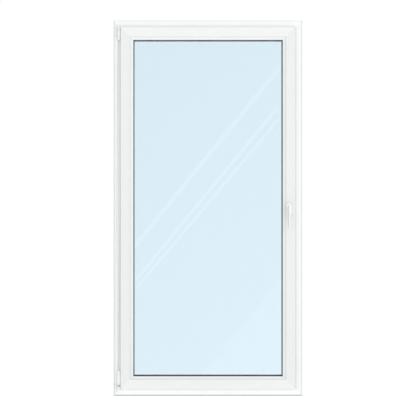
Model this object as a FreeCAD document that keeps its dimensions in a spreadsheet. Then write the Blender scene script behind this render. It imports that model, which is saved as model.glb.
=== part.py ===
import FreeCAD, Part
import math
import os
import re
import Sketcher

# A white uPVC tilt-and-turn casement window: fixed frame, glazed sash, fittings in the
# sash groove, corner hinges and a lever handle.
# X runs to the right seen from the room, Y runs outdoors, Z up.  The origin is the
# middle of the frame's bottom face.  All sizes in millimetres.

VEC = FreeCAD.Vector
doc = FreeCAD.newDocument("CasementWindow")
sheet = doc.addObject("Spreadsheet::Sheet", "Dims")

DIMENSIONS = [
    # overall
    ("frame_width", 1000),       # outside width of the fixed frame
    ("frame_height", 1985),      # outside height of the fixed frame
    ("frame_depth", 70),         # depth of the frame profile
    # fixed frame section, measured inward from the outer edge
    ("frame_sight", 47),         # outer edge to the rebate floor
    ("frame_flange", 69),        # outer edge to the tip of the outdoor flange
    ("flange_thick", 20),        # thickness of the outdoor flange
    ("wall", 3),                 # plastic wall thickness
    ("edge_round", 1.5),         # broken edge of every profile
    ("line_inset", 6),           # outer edge to the fine shadow line round the frame
    ("line_wide", 3),
    ("line_deep", 2.2),
    ("steel_wall", 2),           # reinforcement tube wall
    ("steel_end", 85),           # reinforcement stops this far from a corner
    # sash section, measured inward from the sash's outer edge
    ("sash_inset", 39),          # frame's outer edge to the sash's outer edge
    ("sash_lip", 20),            # width of the lip that overlaps the frame
    ("lip_thick", 20),           # thickness of that lip
    ("lip_gap", 3),              # lip to the frame's room face
    ("sash_face", 52),           # sash edge to the glazing rebate
    ("sash_leg", 73),            # sash edge to the tip of the outdoor glazing leg
    ("leg_thick", 12),           # thickness of the outdoor glazing leg
    ("sash_depth", 70),
    ("bead_face", 68),           # sash edge to the inner edge of the glazing bead
    ("bead_set", 5),             # bead set back from the sash's room face
    # fittings groove in the sash edge
    ("groove_back", 33),         # sash's room face to the groove centre line
    ("groove_wide", 16),         # faceplate seat
    ("groove_narrow", 12),       # channel for the sliding rods
    ("groove_deep", 12),
    ("plate_thick", 3),          # faceplate
    ("rod_thick", 2.2),
    ("rod_wide", 11),
    ("rod_gap", 0.3),            # faceplate to rod
    # glazing
    ("pane_thick", 4),
    ("pane_cavity", 16),
    ("pane_edge", 57),           # sash edge to the glass edge
    ("leg_gasket", 4),           # compressed outdoor gasket
    ("bead_gasket", 3.5),        # compressed room-side gasket
    # hinge axis
    ("axis_inset", 30),          # frame's outer edge to the turn axis
    ("axis_proud", 13),          # frame's room face to the turn axis
    ("tilt_height", 57),         # frame's bottom face to the tilt axis
    ("pivot_radius", 3.5),
    ("pivot_play", 0.05),
    ("trunnion_radius", 3),
    ("knuckle_radius", 7.5),
    ("eye_radius", 7.2),
    ("stay_pin_radius", 4),
    ("stay_low", 105),           # frame's top face down to the stay bearing's foot
    ("stay_high", 37),           # frame's top face down to the stay bearing's top
    ("eye_low", 87),
    ("eye_high", 56),
    ("cover_radius", 8.6),
    ("cover_low", 66),
    ("cover_high", 139),
    ("arm_reach", 400),          # turn axis to the stay's sliding pin
    ("arm_wide", 10),
    ("arm_thick", 3),
    ("slide_radius", 2.5),
    # drive
    ("handle_inset", 35),        # sash edge to the handle spindle
    ("handle_height", 986),      # frame's bottom face to the handle spindle
    ("gear_pitch", 9),           # pinion pitch radius
    ("gear_addendum", 1),
    ("gear_dedendum", 1.2),
    ("gear_half", 1),            # half the tooth thickness at the pitch line
    ("gear_thick", 8.4),
    ("journal_radius", 6),
    ("journal_play", 0.05),
    ("spindle_side", 7),         # square spindle
    ("spindle_play", 0.06),
    ("rod_travel", 28.3),        # rods slide this far in half a turn of the handle
    ("cam_radius", 3.5),
    ("cam_head", 5.5),
    ("cam_reach", 7),            # cam stands this far out of the faceplate
    ("keep_thick", 2.5),
    ("keep_long", 60),
    ("keep_first", 260),         # frame's bottom face to the lowest striker
    ("keep_below", 266),         # spindle down to the striker below the handle
    ("keep_above", 254),         # spindle up to the striker above the handle
    ("keep_last", 285),          # frame's top face down to the highest striker
    ("keep_near", 130),          # head and sill strikers from the frame's middle
    ("keep_far", 200),           # head and sill strikers from the lock side
    # handle
    ("rose_width", 32),
    ("rose_height", 66),
    ("rose_proud", 11),
    ("lever_neck", 9),           # neck radius
    ("lever_low", 102),          # spindle down to the lever tip
    ("lever_top", 22),           # spindle up to the lever head
    ("lever_room", 50),          # sash room face to the lever's front
    ("lever_thick", 13),
    # wall fixings through the jambs
    ("fixing_radius", 4),
    ("fixing_first", 200),
    ("fixing_count", 4),
]
ALIASES = set()
for row, (alias, value) in enumerate(DIMENSIONS, start=1):
    sheet.set("A%d" % row, alias)
    sheet.set("B%d" % row, str(value))
    sheet.setAlias("B%d" % row, alias)
    ALIASES.add(alias)
doc.recompute()


def expr(text):
    """Put the sheet's name before every alias in an expression."""
    return re.sub(r"[a-z]\w*", lambda word: "Dims." + word.group(0)
                  if word.group(0) in ALIASES else word.group(0), str(text))


def value_of(text):
    return float(sheet.evalExpression(expr(text)))


def place(thing, x, y, z, rotation=None):
    """Stand a shape at a point given by expressions."""
    if rotation is not None:
        thing.Placement = FreeCAD.Placement(VEC(0, 0, 0), rotation)
    for axis, text in zip("xyz", (x, y, z)):
        thing.setExpression("Placement.Base." + axis, expr(text))
    return thing


def named(thing, label):
    thing.Label = label
    return thing


def box(x0, x1, y0, y1, z0, z1, label="Block"):
    thing = named(doc.addObject("Part::Box", "Block"), label)
    thing.setExpression("Length", expr("(%s)-(%s)" % (x1, x0)))
    thing.setExpression("Width", expr("(%s)-(%s)" % (y1, y0)))
    thing.setExpression("Height", expr("(%s)-(%s)" % (z1, z0)))
    return place(thing, x0, y0, z0)


TURNS = {
    "z": FreeCAD.Rotation(),
    "x": FreeCAD.Rotation(VEC(0, 1, 0), 90),
    "y": FreeCAD.Rotation(VEC(1, 0, 0), -90),
}


def rod(axis, x, y, z, radius, length, label="Round"):
    """A cylinder that starts at a point and runs along +axis."""
    thing = named(doc.addObject("Part::Cylinder", "Round"), label)
    thing.setExpression("Radius", expr(radius))
    thing.setExpression("Height", expr(length))
    return place(thing, x, y, z, TURNS[axis])


def fuse(shapes, label="Joined"):
    thing = named(doc.addObject("Part::MultiFuse", "Joined"), label)
    thing.Shapes = shapes
    thing.Refine = True
    return thing


def gather(shapes, label="Group"):
    """Separate solids that make one listed part, such as a set of screws."""
    thing = named(doc.addObject("Part::Compound", "Group"), label)
    thing.Links = shapes
    return thing


def cut(base, tools, label="Cut"):
    for tool in tools:
        step = doc.addObject("Part::Cut", "Cut")
        step.Base = base
        step.Tool = tool
        base = step
    return named(base, label)


def plane_of(body, role):
    return [one for one in body.Origin.OriginFeatures if one.Role == role][0]


def sketch_on(body, role, loops):
    """Closed polygons on one of the body's own planes, every corner set by the sheet."""
    sketch = body.newObject("Sketcher::SketchObject", "Outline")
    sketch.AttachmentSupport = [(plane_of(body, role), "")]
    sketch.MapMode = "FlatFace"
    for corners in loops:
        first = sketch.GeometryCount
        values = [VEC(value_of(a), value_of(b), 0) for a, b in corners]
        count = len(values)
        for index in range(count):
            ahead = values[(index + 1) % count]
            sketch.addGeometry(Part.LineSegment(values[index], ahead), False)
        for index in range(count):
            joined = Sketcher.Constraint("Coincident", first + index, 2,
                                         first + (index + 1) % count, 1)
            sketch.addConstraint(joined)
        for index, pair in enumerate(corners):
            spot = (values[index].x, values[index].y)
            for kind, text, start in zip(("DistanceX", "DistanceY"), pair, spot):
                size = Sketcher.Constraint(kind, -1, 1, first + index, 1, start)
                number = sketch.addConstraint(size)
                sketch.setExpression("Constraints[%d]" % number, expr(text))
    return sketch


def padded(label, role, loops, length, symmetric=False):
    body = named(doc.addObject("PartDesign::Body", "Body"), label)
    pad = body.newObject("PartDesign::Pad", "Pad")
    pad.Profile = sketch_on(body, role, loops)
    pad.setExpression("Length", expr(length))
    if symmetric:
        pad.SideType = "Symmetric"
    return body


def pocketed(body, role, loops):
    pocket = body.newObject("PartDesign::Pocket", "Pocket")
    pocket.Profile = sketch_on(body, role, loops)
    pocket.Type = "ThroughAll"
    pocket.SideType = "Symmetric"
    return body


# The four bars of a mitred ring.  Local x is the distance in from the ring's outer edge.
REACH = 100


def mitred_ring(labels, inset, section):
    """Four mitred bars around the window, `inset` in from the frame's outer edge."""
    wide = "(frame_width-2*(%s))" % inset
    tall = "(frame_height-2*(%s))" % inset
    right = "frame_width/2-(%s)" % inset
    left = "-frame_width/2+(%s)" % inset
    low = "(%s)" % inset
    high = "frame_height-(%s)" % inset
    turn = FreeCAD.Rotation
    spots = {
        "hinge": (tall, left, low, turn()),
        "lock": (tall, right, high, turn(VEC(0, 1, 0), 180)),
        "top": (wide, left, high, turn(VEC(0, 1, 0), 90)),
        "bottom": (wide, right, low, turn(VEC(0, 1, 0), -90)),
    }
    bars = {}
    for side, label in labels.items():
        length, x, z, rotation = spots[side]
        body = padded(label, "XY_Plane", section, length)
        start = [("-1", "-1"), (REACH, "-1"), (REACH, REACH)]
        ends = [(a, "%s-(%s)" % (length, b)) for a, b in start]
        pocketed(body, "XZ_Plane", [start, ends])
        bars[side] = place(body, x, "0", z, rotation)
    return bars


def ring(inset, inner, y0, y1, label="Ring"):
    """A flat rectangular loop: `inset` and `inner` are measured from the frame's edge."""
    outside = box("-frame_width/2+(%s)" % inset, "frame_width/2-(%s)" % inset, y0, y1,
                  inset, "frame_height-(%s)" % inset)
    inside = box("-frame_width/2+(%s)" % inner, "frame_width/2-(%s)" % inner,
                 "(%s)-1" % y0, "(%s)+1" % y1, inner, "frame_height-(%s)" % inner)
    return cut(outside, [inside], label)


def tube(x0, x1, y0, y1, z0, z1, along, label="Tube"):
    """Rectangular steel tube, open at both ends."""
    spans = {"x": (x0, x1), "y": (y0, y1), "z": (z0, z1)}
    inner = {}
    for axis, (low, high) in spans.items():
        step = "-1" if axis == along else "+steel_wall"
        back = "+1" if axis == along else "-steel_wall"
        inner[axis] = ("(%s)%s" % (low, step), "(%s)%s" % (high, back))
    outer = box(x0, x1, y0, y1, z0, z1)
    hollow = box(*inner["x"], *inner["y"], *inner["z"])
    return cut(outer, [hollow], label)


def screw(axis, x, y, z, length, radius="2", head="3.4", thick="1.6", sign=1):
    """Head at the point, shank running along +axis (sign 1) or -axis (sign -1)."""
    spot = {"x": x, "y": y, "z": z}
    tip = dict(spot)
    cap = dict(spot)
    if sign > 0:
        cap[axis] = "(%s)-(%s)" % (spot[axis], thick)
    else:
        tip[axis] = "(%s)-(%s)" % (spot[axis], length)
    shank = rod(axis, tip["x"], tip["y"], tip["z"], radius, length)
    top = rod(axis, cap["x"], cap["y"], cap["z"], head, thick)
    return fuse([shank, top])


NODES = []


def keep(thing, label=None):
    """Register a finished sub-part."""
    if label:
        thing.Label = label
    NODES.append(thing)
    return thing


# ---------------------------------------------------------------- reference lines
ROOM = "-frame_depth/2"                                  # frame's room face
OUT = "frame_depth/2"
LIP_BACK = "(-frame_depth/2-lip_gap)"                    # back of the sash lip
SASH_ROOM = "(-frame_depth/2-lip_gap-lip_thick)"         # sash's room face
SASH_OUT = "(-frame_depth/2-lip_gap-lip_thick+sash_depth)"
GROOVE_Y = "(-frame_depth/2-lip_gap-lip_thick+groove_back)"
LEG_IN = "(-frame_depth/2-lip_gap-lip_thick+sash_depth-leg_thick)"
AXIS_X = "(-frame_width/2+axis_inset)"
AXIS_Y = "(-frame_depth/2-axis_proud)"
EDGE = "(sash_inset+sash_lip)"                           # frame edge to sash rebate face
RIGHT = "(frame_width/2-sash_inset-sash_lip)"            # lock-side rebate face of sash
LEFT = "(-frame_width/2+sash_inset+sash_lip)"
TOP = "(frame_height-sash_inset-sash_lip)"
BOTTOM = "(sash_inset+sash_lip)"
HANDLE_X = "(frame_width/2-sash_inset-handle_inset)"

# ---------------------------------------------------------------- fixed frame
FLANGE_IN = "(frame_depth/2-flange_thick)"
frame_outline = [
    ("0", "%s+edge_round" % ROOM), ("edge_round", ROOM),
    ("line_inset", ROOM), ("line_inset+0.6", "%s+line_deep" % ROOM),
    ("line_inset+line_wide-0.6", "%s+line_deep" % ROOM), ("line_inset+line_wide", ROOM),
    ("frame_sight-edge_round", ROOM), ("frame_sight", "%s+edge_round" % ROOM),
    ("frame_sight", FLANGE_IN), ("frame_flange-8", FLANGE_IN),
    ("frame_flange-8", "%s+3" % FLANGE_IN), ("frame_flange-4", "%s+3" % FLANGE_IN),
    ("frame_flange-4", FLANGE_IN), ("frame_flange", FLANGE_IN),
    ("frame_flange-3", OUT), ("edge_round", OUT), ("0", "%s-edge_round" % OUT),
]
CELL_START = "(line_inset+line_wide+wall)"
frame_room_cell = [
    (CELL_START, "%s+wall" % ROOM), ("frame_sight-wall", "%s+wall" % ROOM),
    ("frame_sight-wall", "%s+13" % ROOM), (CELL_START, "%s+13" % ROOM),
]
frame_steel_cell = [
    ("wall", "%s+16" % ROOM), ("frame_sight-wall", "%s+16" % ROOM),
    ("frame_sight-wall", "%s+wall" % FLANGE_IN), ("wall", "%s+wall" % FLANGE_IN),
]
frame_out_cell = [
    ("wall", "%s+2*wall" % FLANGE_IN), ("frame_flange-9", "%s+2*wall" % FLANGE_IN),
    ("frame_flange-9", "%s-wall" % OUT), ("wall", "%s-wall" % OUT),
]
frame_bars = mitred_ring(
    {"hinge": "FrameHinge", "lock": "FrameLock", "top": "FrameTop",
     "bottom": "FrameBottom"},
    "0", [frame_outline, frame_room_cell, frame_steel_cell, frame_out_cell])

# steel tubes inside the frame, with a little play to the plastic
S0, S1 = "(wall+0.5)", "(frame_sight-wall-0.5)"
SY0, SY1 = "%s+16.5" % ROOM, "%s+wall-0.5" % FLANGE_IN
frame_steels = {
    "hinge": tube("-frame_width/2+" + S0, "-frame_width/2+" + S1, SY0, SY1,
                  "steel_end", "frame_height-steel_end", "z"),
    "lock": tube("frame_width/2-" + S1, "frame_width/2-" + S0, SY0, SY1,
                 "steel_end", "frame_height-steel_end", "z"),
    "top": tube("-frame_width/2+steel_end", "frame_width/2-steel_end", SY0, SY1,
                "frame_height-" + S1, "frame_height-" + S0, "x"),
    "bottom": tube("-frame_width/2+steel_end", "frame_width/2-steel_end", SY0, SY1,
                   S0, S1, "x"),
}

# wall fixing holes, evenly spaced down both jambs
FIXING_STEP = "((frame_height-2*fixing_first)/(fixing_count-1))"
fixing_tools = []
for index in range(int(value_of("fixing_count"))):
    level = "fixing_first+%d*%s" % (index, FIXING_STEP)
    fixing_tools.append(rod("x", "-frame_width/2-5", "0", level,
                            "fixing_radius", "frame_width+10"))
fixings = gather(fixing_tools, "fixing_drills")

# drain slots through the sill's outdoor wall and their covers
DRAINS = ["-frame_width/2+160", "frame_width/2-160"]
drain_cutters = [box("%s-14" % x, "%s+14" % x, "%s-wall-1" % OUT, "%s+2" % OUT, "24", "29")
                 for x in DRAINS]
drain_covers = []
for x in DRAINS:
    shell = box("%s-20" % x, "%s+20" % x, OUT, "%s+4" % OUT, "18", "34")
    hollow = box("%s-17" % x, "%s+17" % x, "%s-1" % OUT, "%s+2.5" % OUT, "17", "31")
    drain_covers.append(cut(shell, [hollow]))
keep(gather(drain_covers, "drain_caps"))

# ---------------------------------------------------------------- screws in the frame
PLATE_Y = "(%s-2.5)" % ROOM
HINGE_SCREWS = ["74", "98", "frame_height-79.5", "frame_height-64"]
bearing_screws = gather([screw("y", "%s-2.2" % AXIS_X, "%s+1.4" % PLATE_Y, level, "24")
                         for level in HINGE_SCREWS], "hinge_screws")

# the middle strikers follow the handle, the end ones follow the frame's own corners
KEEPS_LOCK = ["keep_first", "handle_height-keep_below", "handle_height+keep_above",
              "frame_height-keep_last"]
KEEPS_HINGE = ["handle_height-keep_below", "handle_height+keep_above"]
KEEPS_FLAT = ["keep_near", "frame_width/2-keep_far"]
KEEP_AT = "frame_width/2-frame_sight"


def lock_keep(level, sign):
    """Striker on a jamb: plate, low hooked lip and two screws."""
    face = "(%s)" % KEEP_AT
    thick = "keep_thick"
    if sign > 0:
        plate_x = ("%s-%s" % (face, thick), face)
        lip_x = ("%s-%s-1" % (face, thick), "%s-%s" % (face, thick))
    else:
        plate_x = ("-%s" % face, "-%s+%s" % (face, thick))
        lip_x = ("-%s+%s" % (face, thick), "-%s+%s+1" % (face, thick))
    low, high = "%s-keep_long/2" % level, "%s+keep_long/2" % level
    plate = box(*plate_x, "%s-9" % GROOVE_Y, "%s+9" % GROOVE_Y, low, high)
    lip = box(*lip_x, "%s-9" % GROOVE_Y, "%s-6.5" % GROOVE_Y,
              "%s-keep_long/4" % level, "%s+keep_long/4" % level)
    return fuse([plate, lip])


def flat_keep(x, z_face, sign):
    """Striker on the head (sign 1) or the sill (sign -1)."""
    if sign > 0:
        plate_z = ("%s-keep_thick" % z_face, z_face)
        lip_z = ("%s-keep_thick-1" % z_face, "%s-keep_thick" % z_face)
    else:
        plate_z = (z_face, "%s+keep_thick" % z_face)
        lip_z = ("%s+keep_thick" % z_face, "%s+keep_thick+1" % z_face)
    low, high = "%s-keep_long/2" % x, "%s+keep_long/2" % x
    plate = box(low, high, "%s-9" % GROOVE_Y, "%s+9" % GROOVE_Y, *plate_z)
    lip = box("%s-keep_long/4" % x, "%s+keep_long/4" % x,
              "%s-9" % GROOVE_Y, "%s-6.5" % GROOVE_Y, *lip_z)
    return fuse([plate, lip])


HEAD_Z = "(frame_height-frame_sight)"
SILL_Z = "(frame_sight)"
keep_screw_list = []
for level in KEEPS_LOCK:
    for step in ("-22", "+22"):
        keep_screw_list.append(screw("x", "%s-keep_thick" % KEEP_AT, GROOVE_Y,
                                     "%s%s" % (level, step), "16", thick="1.2"))
for level in KEEPS_HINGE:
    for step in ("-22", "+22"):
        keep_screw_list.append(screw("x", "-(%s)+keep_thick" % KEEP_AT, GROOVE_Y,
                                     "%s%s" % (level, step), "16", thick="1.2", sign=-1))
for x in KEEPS_FLAT:
    for step in ("-22", "+22"):
        keep_screw_list.append(screw("z", "%s%s" % (x, step), GROOVE_Y,
                                     "%s-keep_thick" % HEAD_Z, "16", thick="1.2"))
        keep_screw_list.append(screw("z", "%s%s" % (x, step), GROOVE_Y,
                                     "%s+keep_thick" % SILL_Z, "16", thick="1.2", sign=-1))
keep_screws = gather(keep_screw_list, "keep_screws")

keeps_jamb = gather([lock_keep(level, 1) for level in KEEPS_LOCK], "Keeps")
keep(cut(keeps_jamb, [keep_screws], "keeps_lock_side"))
keeps_other = gather([lock_keep(level, -1) for level in KEEPS_HINGE], "Keeps")
keep(cut(keeps_other, [keep_screws], "keeps_hinge_side"))
keeps_flat = gather([flat_keep(x, HEAD_Z, 1) for x in KEEPS_FLAT]
                    + [flat_keep(x, SILL_Z, -1) for x in KEEPS_FLAT], "Keeps")
keep(cut(keeps_flat, [keep_screws], "keeps_head_and_sill"))
keep(keep_screws)
keep(bearing_screws)

keep(cut(frame_bars["hinge"], [fixings, bearing_screws, keep_screws],
         "frame_jamb_hinge_side"))
keep(cut(frame_bars["lock"], [fixings, keep_screws], "frame_jamb_lock_side"))
keep(cut(frame_bars["top"], [keep_screws], "frame_head"))
keep(cut(frame_bars["bottom"], [keep_screws] + drain_cutters, "frame_sill"))
steel_tubes = gather(list(frame_steels.values()), "Tubes")
keep(cut(steel_tubes, [fixings, bearing_screws, keep_screws], "frame_steel"))

# seal on the outdoor flange: a stem in its groove and a bulb that meets the sash
stem = ring("frame_flange-7.9", "frame_flange-4.1", FLANGE_IN, "%s+2.9" % FLANGE_IN)
bulb = ring("frame_flange-9", "frame_flange-3", "%s+0.3" % SASH_OUT, FLANGE_IN)
keep(fuse([stem, bulb], "frame_gasket"))

# ---------------------------------------------------------------- hinge parts on the frame
plate_x = ("%s-7.5" % AXIS_X, "%s+3" % AXIS_X)
socket = rod("z", AXIS_X, AXIS_Y, "34", "knuckle_radius", "18")
socket_web = box("%s-4.5" % AXIS_X, "%s+3" % AXIS_X, AXIS_Y, ROOM, "34", "52")
socket_plate = box(*plate_x, PLATE_Y, ROOM, "34", "110")
socket_bore = rod("z", AXIS_X, AXIS_Y, "36", "pivot_radius+pivot_play", "20")
keep(cut(fuse([socket, socket_web, socket_plate]), [socket_bore, bearing_screws],
         "corner_bearing"))

stay_plate = box(*plate_x, PLATE_Y, ROOM, "frame_height-stay_low", "frame_height-stay_high")
knuckles = []
for low, high in (("frame_height-stay_low", "frame_height-eye_low-0.3"),
                  ("frame_height-eye_high+0.3", "frame_height-stay_high")):
    knuckles.append(rod("z", AXIS_X, AXIS_Y, low, "knuckle_radius", "(%s)-(%s)" % (high, low)))
    knuckles.append(box("%s-4.5" % AXIS_X, "%s+3" % AXIS_X, AXIS_Y, ROOM, low, high))
stay_bore = rod("z", AXIS_X, AXIS_Y, "frame_height-stay_low-1", "stay_pin_radius+0.02", "90")
keep(cut(fuse([stay_plate] + knuckles), [stay_bore, bearing_screws], "stay_bearing"))
pin_stem = rod("z", AXIS_X, AXIS_Y, "frame_height-stay_low-1", "stay_pin_radius",
               "stay_low-stay_high+1")
pin_head = rod("z", AXIS_X, AXIS_Y, "frame_height-stay_low-3", "stay_pin_radius+2", "2.9")
keep(fuse([pin_stem, pin_head], "stay_bearing_pin"))

# ---------------------------------------------------------------- swivel at the lower corner
swivel_pin = rod("z", AXIS_X, AXIS_Y, "36.5", "pivot_radius", "17")
swivel_hub = rod("z", AXIS_X, AXIS_Y, "52.3", "4.2", "9.2")
trunnion = rod("x", "%s-7" % AXIS_X, AXIS_Y, "tilt_height", "trunnion_radius", "14")
keep(fuse([swivel_pin, swivel_hub, trunnion], "corner_pivot"))

# ---------------------------------------------------------------- stay arm
EYE_Z0, EYE_Z1 = "frame_height-eye_low", "frame_height-eye_high"
ARM_Z0 = "(%s+1.5)" % TOP
ARM_Z1 = "(%s+1.5+arm_thick)" % TOP
arm_eye = rod("z", AXIS_X, AXIS_Y, EYE_Z0, "eye_radius", "eye_low-eye_high")
arm_back = box("%s+3.6" % AXIS_X, "%s+6" % AXIS_X, AXIS_Y, "%s-0.7" % ROOM, EYE_Z0, EYE_Z1)
arm_leaf = box("%s+3.6" % AXIS_X, "%s-6" % LEFT, "%s+0.7" % LIP_BACK, "%s-0.7" % ROOM,
               EYE_Z0, EYE_Z1)
arm_turn = box("%s-8.4" % LEFT, "%s-6" % LEFT, "%s+0.7" % LIP_BACK,
               "%s+arm_wide/2" % GROOVE_Y, EYE_Z0, ARM_Z1)
arm_bar = box("%s-8.4" % LEFT, "%s+arm_reach+8" % AXIS_X, "%s-arm_wide/2" % GROOVE_Y,
              "%s+arm_wide/2" % GROOVE_Y, ARM_Z0, ARM_Z1)
arm_bore = rod("z", AXIS_X, AXIS_Y, "%s-1" % EYE_Z0, "stay_pin_radius+pivot_play",
               "eye_low-eye_high+2")
slide_x = "%s+arm_reach" % AXIS_X
slide_stem = rod("z", slide_x, GROOVE_Y, "%s-9" % TOP, "slide_radius",
                 "9+1.5+arm_thick")
slide_cap = rod("z", slide_x, GROOVE_Y, ARM_Z1, "slide_radius+1.5", "1")
slide = fuse([slide_stem, slide_cap], "stay_slide_pin")
keep(cut(fuse([arm_eye, arm_back, arm_leaf, arm_turn, arm_bar]), [arm_bore, slide],
         "stay_arm"))
keep(slide)

# ---------------------------------------------------------------- sash
G0, G1 = "(%s-groove_wide/2)" % GROOVE_Y, "(%s+groove_wide/2)" % GROOVE_Y
N0, N1 = "(%s-groove_narrow/2)" % GROOVE_Y, "(%s+groove_narrow/2)" % GROOVE_Y
BEAD_ROOM = "(%s+bead_set)" % SASH_ROOM
SEAT = "(sash_lip+plate_thick)"
FLOOR = "(sash_lip+groove_deep)"
sash_outline = [
    ("0", "%s+edge_round" % SASH_ROOM), ("edge_round", SASH_ROOM),
    ("sash_face-edge_round", SASH_ROOM), ("sash_face", "%s+edge_round" % SASH_ROOM),
    ("sash_face", "%s+7" % BEAD_ROOM), ("sash_face-3", "%s+7" % BEAD_ROOM),
    ("sash_face-3", "%s+11" % BEAD_ROOM), ("sash_face", "%s+11" % BEAD_ROOM),
    ("sash_face", LEG_IN), ("sash_leg", LEG_IN), ("sash_leg-3", SASH_OUT),
    ("sash_lip", SASH_OUT), ("sash_lip", G1), (SEAT, G1), (SEAT, N1), (FLOOR, N1),
    (FLOOR, N0), (SEAT, N0), (SEAT, G0), ("sash_lip", G0), ("sash_lip", LIP_BACK),
    ("edge_round", LIP_BACK), ("0", "%s-edge_round" % LIP_BACK),
]
sash_room_cell = [
    ("wall", "%s+wall" % SASH_ROOM), ("sash_face-7", "%s+wall" % SASH_ROOM),
    ("sash_face-7", "%s-wall" % LIP_BACK), ("wall", "%s-wall" % LIP_BACK),
]
sash_steel_cell = [
    ("%s+wall" % FLOOR, LIP_BACK), ("sash_face-wall", LIP_BACK),
    ("sash_face-wall", "%s-wall" % LEG_IN), ("%s+wall" % FLOOR, "%s-wall" % LEG_IN),
]
sash_small_cell = [
    (SEAT, "%s+wall" % G1), (FLOOR, "%s+wall" % G1),
    (FLOOR, "%s-wall" % SASH_OUT), (SEAT, "%s-wall" % SASH_OUT),
]
sash_leg_cell = [
    ("%s+wall" % FLOOR, "%s+wall" % LEG_IN), ("sash_leg-6", "%s+wall" % LEG_IN),
    ("sash_leg-6", "%s-wall" % SASH_OUT), ("%s+wall" % FLOOR, "%s-wall" % SASH_OUT),
]
sash_bars = mitred_ring(
    {"hinge": "SashHinge", "lock": "SashLock", "top": "SashTop", "bottom": "SashBottom"},
    "sash_inset",
    [sash_outline, sash_room_cell, sash_steel_cell, sash_small_cell, sash_leg_cell])

# steel tubes inside the sash; the lock side's is in two lengths around the gearbox
E0 = "(sash_inset+%s+wall+0.4)" % FLOOR
E1 = "(sash_inset+sash_face-wall-0.4)"
EY0, EY1 = "%s+0.4" % LIP_BACK, "%s-wall-0.4" % LEG_IN
GEAR_Z0, GEAR_Z1 = "(handle_height-66)", "(handle_height+66)"
END0 = "(sash_inset+steel_end)"
END1 = "(frame_height-sash_inset-steel_end)"
sash_steels = gather([
    tube("-frame_width/2+" + E0, "-frame_width/2+" + E1, EY0, EY1, END0, END1, "z"),
    tube("frame_width/2-" + E1, "frame_width/2-" + E0, EY0, EY1, END0, GEAR_Z0, "z"),
    tube("frame_width/2-" + E1, "frame_width/2-" + E0, EY0, EY1, GEAR_Z1, END1, "z"),
    tube("-frame_width/2+" + END0, "frame_width/2-" + END0, EY0, EY1,
         "frame_height-" + E1, "frame_height-" + E0, "x"),
    tube("-frame_width/2+" + END0, "frame_width/2-" + END0, EY0, EY1, E0, E1, "x"),
], "SashSteel")

# ---------------------------------------------------------------- sliding rods and faceplates
R_OUT = "(sash_lip+plate_thick+rod_gap)"                  # rod face next to the faceplate
R_IN = "(sash_lip+plate_thick+rod_gap+rod_thick)"
RY0, RY1 = "%s-rod_wide/2" % GROOVE_Y, "%s+rod_wide/2" % GROOVE_Y
SEAT_IN = "(sash_inset+sash_lip+plate_thick)"
PY0, PY1 = "%s+0.1" % G0, "%s-0.1" % G1
CAM_SLOT = "(cam_radius+0.3)"


def cam_set(axis, spots, sign):
    """Mushroom cams: a stem through the faceplate and a wider head."""
    cams = []
    for spot in spots:
        base = "(sash_inset+%s)" % R_OUT
        top = "(sash_inset+sash_lip-cam_reach)"
        stem_long = "%s-%s" % (base, top)
        if axis == "x" and sign > 0:
            stem = rod("x", "frame_width/2-%s" % base, GROOVE_Y, spot, "cam_radius", stem_long)
            head = rod("x", "frame_width/2-%s-2.5" % top, GROOVE_Y, spot, "cam_head", "2.5")
        elif axis == "x":
            stem = rod("x", "-frame_width/2+%s" % top, GROOVE_Y, spot, "cam_radius", stem_long)
            head = rod("x", "-frame_width/2+%s" % top, GROOVE_Y, spot, "cam_head", "2.5")
        elif sign > 0:
            stem = rod("z", spot, GROOVE_Y, "frame_height-%s" % base, "cam_radius", stem_long)
            head = rod("z", spot, GROOVE_Y, "frame_height-%s-2.5" % top, "cam_head", "2.5")
        else:
            stem = rod("z", spot, GROOVE_Y, top, "cam_radius", stem_long)
            head = rod("z", spot, GROOVE_Y, top, "cam_head", "2.5")
        cams.append(fuse([stem, head]))
    return cams


# lock side: slides down from the closed position
rack_z0, rack_z1 = "handle_height-16", "handle_height+rod_travel+16"
LOCK_ROD_X0 = "frame_width/2-sash_inset-%s" % R_IN
LOCK_ROD_X1 = "frame_width/2-sash_inset-%s" % R_OUT
rod_plain = box(LOCK_ROD_X0, LOCK_ROD_X1, RY0, RY1, "150", "frame_height-150")
RACK_LINE = "(%s+gear_pitch)" % HANDLE_X
RACK_ROOT = "(%s+gear_dedendum)" % RACK_LINE
rack_gap = box("%s-1" % LOCK_ROD_X0, RACK_ROOT, "%s-1" % RY0, "%s+1" % RY1,
               rack_z0, rack_z1)
PITCH = "(3.14159265*gear_pitch/6)"
SLOPE = math.tan(math.radians(20))
teeth = []
for index in range(-2, 8):
    middle = "handle_height+%s*%s" % (index + 0.5, PITCH)
    narrow = "(gear_half-gear_addendum*%.5f)" % SLOPE
    broad = "(gear_half+gear_dedendum*%.5f)" % SLOPE
    corners = [
        ("%s-gear_addendum" % RACK_LINE, "%s-%s" % (middle, narrow)),
        ("%s+0.2" % RACK_ROOT, "%s-%s" % (middle, broad)),
        ("%s+0.2" % RACK_ROOT, "%s+%s" % (middle, broad)),
        ("%s-gear_addendum" % RACK_LINE, "%s+%s" % (middle, narrow)),
    ]
    teeth.append(corners)
rack = padded("Rack", "XZ_Plane", teeth, "gear_thick", symmetric=True)
place(rack, "0", GROOVE_Y, "0")
lock_cam_list = cam_set("x", KEEPS_LOCK, 1)
keep(fuse([cut(rod_plain, [rack_gap]), rack], "rod_lock_side"))
keep(gather(lock_cam_list, "cams_lock_side"))

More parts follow.
